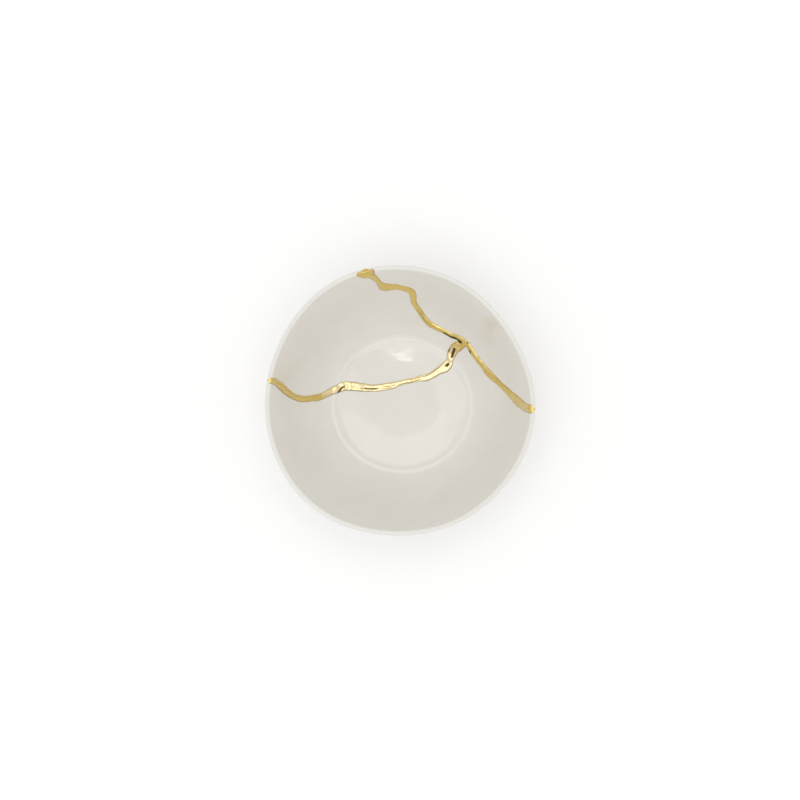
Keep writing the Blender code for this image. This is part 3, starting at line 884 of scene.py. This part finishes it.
def marked(points, normals):
    """Presses the marks into points of the gold, and gives how dark each is painted: lacquer on the black
    marks, painted shade in the grooves and creases.
    """
    lacquer_and_painted_shade = np.zeros(len(points))
    for radius, depth, darkness, controls in MARKS:
        flat = curve_through(np.stack(laid_flat(*np.array(controls).T), 1))
        angle = np.arctan2(flat[:, 1], flat[:, 0])
        distance = np.hypot(flat[:, 0], flat[:, 1])
        lift = MARK_LIFT * BEAD_HEIGHT * section.read(section.inner_way, distance)
        line = place(angle, section.read(section.inner, distance) + lift)[::MARK_SPACING]
        above = points > line.min(0) - MARK_ROOM
        below = points < line.max(0) + MARK_ROOM
        near = np.flatnonzero(np.all(above & below, axis=1))
        away = np.linalg.norm(points[near][:, None, :] - line[None, :, :], axis=2).min(1)
        fade = np.exp(-(away / radius) ** 2)
        points[near] -= normals[near] * (depth * fade)[:, None]
        dark = darkness * smooth_step(MARK_CONTRAST * fade - MARK_FADE_START)
        lacquer_and_painted_shade[near] = np.maximum(lacquer_and_painted_shade[near], dark)
    return lacquer_and_painted_shade


def gold_repair():
    """The whole raised repair in gold, with the darkness of lacquer and of painted shade at each point kept as
    an attribute.
    """
    solids = []
    places = []
    edges = []
    for seed, (name, controls, at_start, at_end) in enumerate(PLANS):
        line = with_lip(seam_line(controls, STATION), at_start, at_end, LIP_STATIONS)
        grid, near_edge = gold_grid(line, SEAM_SEEDS * seed)
        solids.append(loft(name, grid))
        places.append(grid.reshape(-1, 3))
        edges.append(near_edge.ravel())
    first, *others = solids
    for other in others:
        boolean(first, other, "UNION")
    first.name = "gold_repair"
    first.data.name = "gold_repair"
    places = np.concatenate(places)
    edges = np.concatenate(edges)
    tree = kdtree.KDTree(len(places))
    for i, point in enumerate(places):
        tree.insert(point, i)
    tree.balance()
    vertices = first.data.vertices
    edge = np.array([edges[tree.find(vertex.co)[1]] for vertex in vertices])
    points = np.array([vertex.co[:] for vertex in vertices])
    normals = np.array([vertex.normal[:] for vertex in vertices])
    lacquer_and_painted_shade = marked(points, normals)
    # painted shade and dark reflection along the bead's edges, weaker on one flank and outside
    lacquer_and_painted_shade = np.maximum(lacquer_and_painted_shade, PAINTED_EDGE_SHADE * smooth_step((edge - EDGE_START) / EDGE_RUN))
    vertices.foreach_set("co", points.ravel())
    # kept for the material: how dark each point is painted, with lacquer and painted shade
    store(first, "lacquer_and_painted_shade", lacquer_and_painted_shade)
    first.data.update()
    return first


def shade(piece, angle):
    """Smooth shading with sharp edges kept."""
    piece.data.shade_smooth()
    piece.data.set_sharp_from_angle(angle=math.radians(angle))


def new_material(name):
    """A material with its node tree and its shader."""
    material = bpy.data.materials.new(name)
    material.use_nodes = True
    nodes = material.node_tree.nodes
    return material, nodes, material.node_tree.links, nodes["Principled BSDF"]


def add_noise(nodes, links, scale, detail):
    """Smooth 3-D noise over the object's own coordinates, with features of about 1 / scale metres."""
    where = nodes.new("ShaderNodeTexCoord")
    texture = nodes.new("ShaderNodeTexNoise")
    texture.inputs["Scale"].default_value = scale
    texture.inputs["Detail"].default_value = detail
    links.new(where.outputs["Object"], texture.inputs["Vector"])
    return texture.outputs["Fac"]


def add_range(nodes, links, value, low, high, source=NOISE_MIDDLE):
    """Stretches a value from its source range, or from its middle part, to between low and high."""
    stretch = nodes.new("ShaderNodeMapRange")
    stretch.inputs["From Min"].default_value = source[0]
    stretch.inputs["From Max"].default_value = source[1]
    stretch.inputs["To Min"].default_value = low
    stretch.inputs["To Max"].default_value = high
    links.new(value, stretch.inputs["Value"])
    return stretch.outputs["Result"]


def add_height_range(nodes, links, heights):
    """A value that goes from 0 to 1 between two heights of the object's own coordinates."""
    where = nodes.new("ShaderNodeTexCoord")
    split = nodes.new("ShaderNodeSeparateXYZ")
    links.new(where.outputs["Object"], split.inputs["Vector"])
    return add_range(nodes, links, split.outputs["Z"], 0.0, 1.0, heights)


def add_stored(nodes, name):
    """The value that a piece keeps for each of its vertices under a name."""
    stored = nodes.new("ShaderNodeAttribute")
    stored.attribute_name = name
    return stored.outputs["Fac"]


def add_math(nodes, links, operation, one, other):
    """Arithmetic on two values, each a number or another node's output."""
    result = nodes.new("ShaderNodeMath")
    result.operation = operation
    for socket, value in zip(result.inputs, (one, other)):
        if isinstance(value, float):
            socket.default_value = value
        else:
            links.new(value, socket)
    return result.outputs["Value"]


def add_mix(nodes, links, share, one, other):
    """A colour between two, each a colour or another node's output."""
    mix = nodes.new("ShaderNodeMix")
    mix.data_type = "RGBA"
    links.new(share, mix.inputs["Factor"])
    for name, colour in (("A", one), ("B", other)):
        socket = next(each for each in mix.inputs if each.name == name and each.type == "RGBA")
        if isinstance(colour, tuple):
            socket.default_value = (*colour, 1)
        else:
            links.new(colour, socket)
    return next(each for each in mix.outputs if each.type == "RGBA")


def add_bump(nodes, links, height, strength, depth):
    """A bump of a given depth in metres."""
    bump = nodes.new("ShaderNodeBump")
    bump.inputs["Strength"].default_value = strength
    bump.inputs["Distance"].default_value = depth
    links.new(height, bump.inputs["Height"])
    return bump.outputs["Normal"]


def porcelain_material():
    """Warm white glaze, glossy and very slightly wavy, with painted shade near the lip and a painted highlight
    along the well's ridge.
    """
    material, nodes, links, shader = new_material("glazed_porcelain")
    clouds = add_range(nodes, links, add_noise(nodes, links, GLAZE_CLOUDS, 2.0), 0.0, 1.0)
    colour = add_mix(nodes, links, clouds, GLAZE_DEEP, GLAZE_LIGHT)
    # painted shade: the glaze is painted darker near the lip
    lip = add_height_range(nodes, links, LIP_SHADE_HEIGHTS)
    colour = add_mix(nodes, links, lip, colour, LIP_PAINTED_SHADE)
    # a paler line painted along the ridge's crest: a painted highlight
    ridge_highlight = add_stored(nodes, "painted_ridge_highlight")
    colour = add_mix(nodes, links, ridge_highlight, colour, RIDGE_HIGHLIGHT_COLOUR)
    links.new(colour, shader.inputs["Base Color"])
    shader.inputs["Roughness"].default_value = GLAZE_ROUGHNESS
    ripples = add_noise(nodes, links, GLAZE_RIPPLES, 1.0)
    bump = add_bump(nodes, links, ripples, RIPPLE_STRENGTH, RIPPLE_DEPTH)
    links.new(bump, shader.inputs["Normal"])
    return material


def gold_material():
    """Polished, slightly uneven gold, painted paler in the well as a painted highlight, with dark lacquer and
    painted shade where the stored attribute says so.
    """
    material, nodes, links, shader = new_material("polished_gold")
    clouds = add_range(nodes, links, add_noise(nodes, links, GOLD_CLOUDS, 3.0), 0.0, 1.0)
    colour = add_mix(nodes, links, clouds, GOLD_DEEP, GOLD_LIGHT)
    # the gold in the well is painted paler as a painted highlight; the same share also gives it more coat
    well_highlight_and_coat = add_height_range(nodes, links, WELL_HIGHLIGHT_AND_COAT_HEIGHTS)
    colour = add_mix(nodes, links, well_highlight_and_coat, colour, GOLD_PAINTED_HIGHLIGHT)
    # how dark each point is painted: lacquer on the marks, painted shade in grooves, creases and along the
    # edges
    lacquer_and_painted_shade = add_stored(nodes, "lacquer_and_painted_shade")
    colour = add_mix(nodes, links, lacquer_and_painted_shade, colour, LACQUER_AND_SHADE_COLOUR)
    links.new(colour, shader.inputs["Base Color"])
    shader.inputs["Metallic"].default_value = 1.0
    bare = add_math(nodes, links, "SUBTRACT", 1.0, lacquer_and_painted_shade)
    sheen = add_range(nodes, links, well_highlight_and_coat, *GOLD_COAT, (0.0, 1.0))
    links.new(add_math(nodes, links, "MULTIPLY", bare, sheen), shader.inputs["Coat Weight"])
    shader.inputs["Coat Roughness"].default_value = GOLD_COAT_ROUGHNESS
    wear = add_range(nodes, links, add_noise(nodes, links, GOLD_WEAR, 1.0), *GOLD_ROUGHNESS)
    links.new(wear, shader.inputs["Roughness"])
    dents = add_noise(nodes, links, GOLD_DENTS, 1.0)
    links.new(add_bump(nodes, links, dents, DENT_STRENGTH, DENT_DEPTH), shader.inputs["Normal"])
    return material


def dress(piece, node, material, angle):
    """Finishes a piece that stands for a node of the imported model."""
    piece.data.materials.clear()
    piece.data.materials.append(material)
    shade(piece, angle)
    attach(piece, "root")
    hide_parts(node)


# The camera: above the rim, a little to the front and the right, with the rim's middle at RIM_PIXEL
IMAGE_SIDE = 800
CAMERA_DISTANCE = 0.80
CAMERA_SOUTH = math.radians(2.95)
CAMERA_EAST = math.radians(1.48)
AIM_HEIGHT = 0.0586
RIM_PIXEL = (398.5, 401.2)
RIM_PIXELS = 135.3
SENSOR = 36.0


def add_camera():
    """The camera at the photograph's viewing angle."""
    target = Vector((-RIM_OFFSET[0], -RIM_OFFSET[1], AIM_HEIGHT))
    away = Vector((math.tan(CAMERA_EAST), -math.tan(CAMERA_SOUTH), 1.0)) * CAMERA_DISTANCE
    metres_per_pixel = RIM_RADIUS / RIM_PIXELS
    shift = Vector((IMAGE_SIDE / 2 - RIM_PIXEL[0], RIM_PIXEL[1] - IMAGE_SIDE / 2, 0.0))
    aim = target + shift * metres_per_pixel
    position = target + away
    view = (aim - position).normalized()
    right = view.cross(Vector((0, 1, 0))).normalized()
    up = right.cross(view)
    data = bpy.data.cameras.new("camera")
    data.sensor_width = SENSOR
    data.lens = away.length / metres_per_pixel * SENSOR / IMAGE_SIDE
    camera = bpy.data.objects.new("camera", data)
    rotation = Matrix((right, up, -view)).transposed().to_4x4()
    camera.matrix_world = Matrix.Translation(position) @ rotation
    bpy.context.scene.collection.objects.link(camera)
    bpy.context.scene.camera = camera


# The lights, on a sphere round the bowl: shape, zenith and azimuth, half sizes in degrees, and radiance
LIGHT_DISTANCE = 1.5
LIGHT_CENTRE = (0.0, 0.0, 0.03)
SOFTBOXES = (
    ("south_softbox", "RECTANGLE", 21.0, 256.0, (19.0, 9.0), 1.4),
    ("west_softbox", "RECTANGLE", 17.0, 182.0, (7.0, 10.0), 1.0),
    ("north_softbox", "RECTANGLE", 14.0, 90.0, (13.0, 8.5), 1.45),
    ("east_softbox", "RECTANGLE", 16.0, 2.0, (7.0, 7.0), 0.6),
    ("small_lamp", "ELLIPSE", 10.3, 262.0, (3.6, 0.35), 14.0),
)

# The sky's strength overhead and at the horizon, and how high the brighter band reaches
SKY_STRENGTH = 0.87
HORIZON_STRENGTH = 1.10
HORIZON_START = 0.50

# The floor's side, how far it lies under the foot, and its tone
FLOOR_SIDE = 6.0
FLOOR_DROP = 0.0001
FLOOR_TONE = 0.96


def add_softbox(name, shape, zenith, azimuth, half_sizes, radiance):
    """A softbox that faces the bowl, given by its angles seen from there, in degrees."""
    across, up = (2 * LIGHT_DISTANCE * math.tan(math.radians(half)) for half in half_sizes)
    zenith, azimuth = math.radians(zenith), math.radians(azimuth)
    way = Vector((
        math.sin(zenith) * math.cos(azimuth),
        math.sin(zenith) * math.sin(azimuth),
        math.cos(zenith),
    ))
    data = bpy.data.lights.new(name, "AREA")
    data.shape = shape
    data.size = across
    data.size_y = up
    data.energy = math.pi * radiance * across * up
    light = bpy.data.objects.new(name, data)
    light.location = Vector(LIGHT_CENTRE) + LIGHT_DISTANCE * way
    light.rotation_euler = (-way).to_track_quat("-Z", "Y").to_euler()
    bpy.context.scene.collection.objects.link(light)


def add_sky():
    """Even white light from all round, brighter towards the horizon."""
    world = bpy.data.worlds.new("studio")
    world.use_nodes = True
    nodes = world.node_tree.nodes
    links = world.node_tree.links
    direction = nodes.new("ShaderNodeTexCoord")
    split = nodes.new("ShaderNodeSeparateXYZ")
    strength = nodes.new("ShaderNodeMapRange")
    strength.inputs["From Min"].default_value = 0.0
    strength.inputs["From Max"].default_value = HORIZON_START
    strength.inputs["To Min"].default_value = HORIZON_STRENGTH
    strength.inputs["To Max"].default_value = SKY_STRENGTH
    links.new(direction.outputs["Generated"], split.inputs["Vector"])
    links.new(split.outputs["Z"], strength.inputs["Value"])
    links.new(strength.outputs["Result"], nodes["Background"].inputs["Strength"])
    nodes["Background"].inputs["Color"].default_value = (1, 1, 1, 1)
    bpy.context.scene.world = world


def add_studio():
    """A pale floor, the sky and the softboxes."""
    bpy.ops.mesh.primitive_plane_add(size=FLOOR_SIDE, location=(0, 0, -FLOOR_DROP))
    floor = bpy.context.object
    floor.name = "floor"
    material, _, _, shader = new_material("pale_floor")
    shader.inputs["Base Color"].default_value = (FLOOR_TONE, FLOOR_TONE, FLOOR_TONE, 1)
    shader.inputs["Roughness"].default_value = 1.0
    shader.inputs["Specular IOR Level"].default_value = 0.0
    floor.data.materials.append(material)
    add_sky()
    for softbox in SOFTBOXES:
        add_softbox(*softbox)
    bpy.context.scene.view_settings.view_transform = "Standard"


porcelain = porcelain_material()
gold = gold_material()
for piece, node in sherds():
    dress(piece, node, porcelain, PORCELAIN_EDGE)
dress(gold_repair(), "gold_seam", gold, GOLD_EDGE)
add_camera()
add_studio()
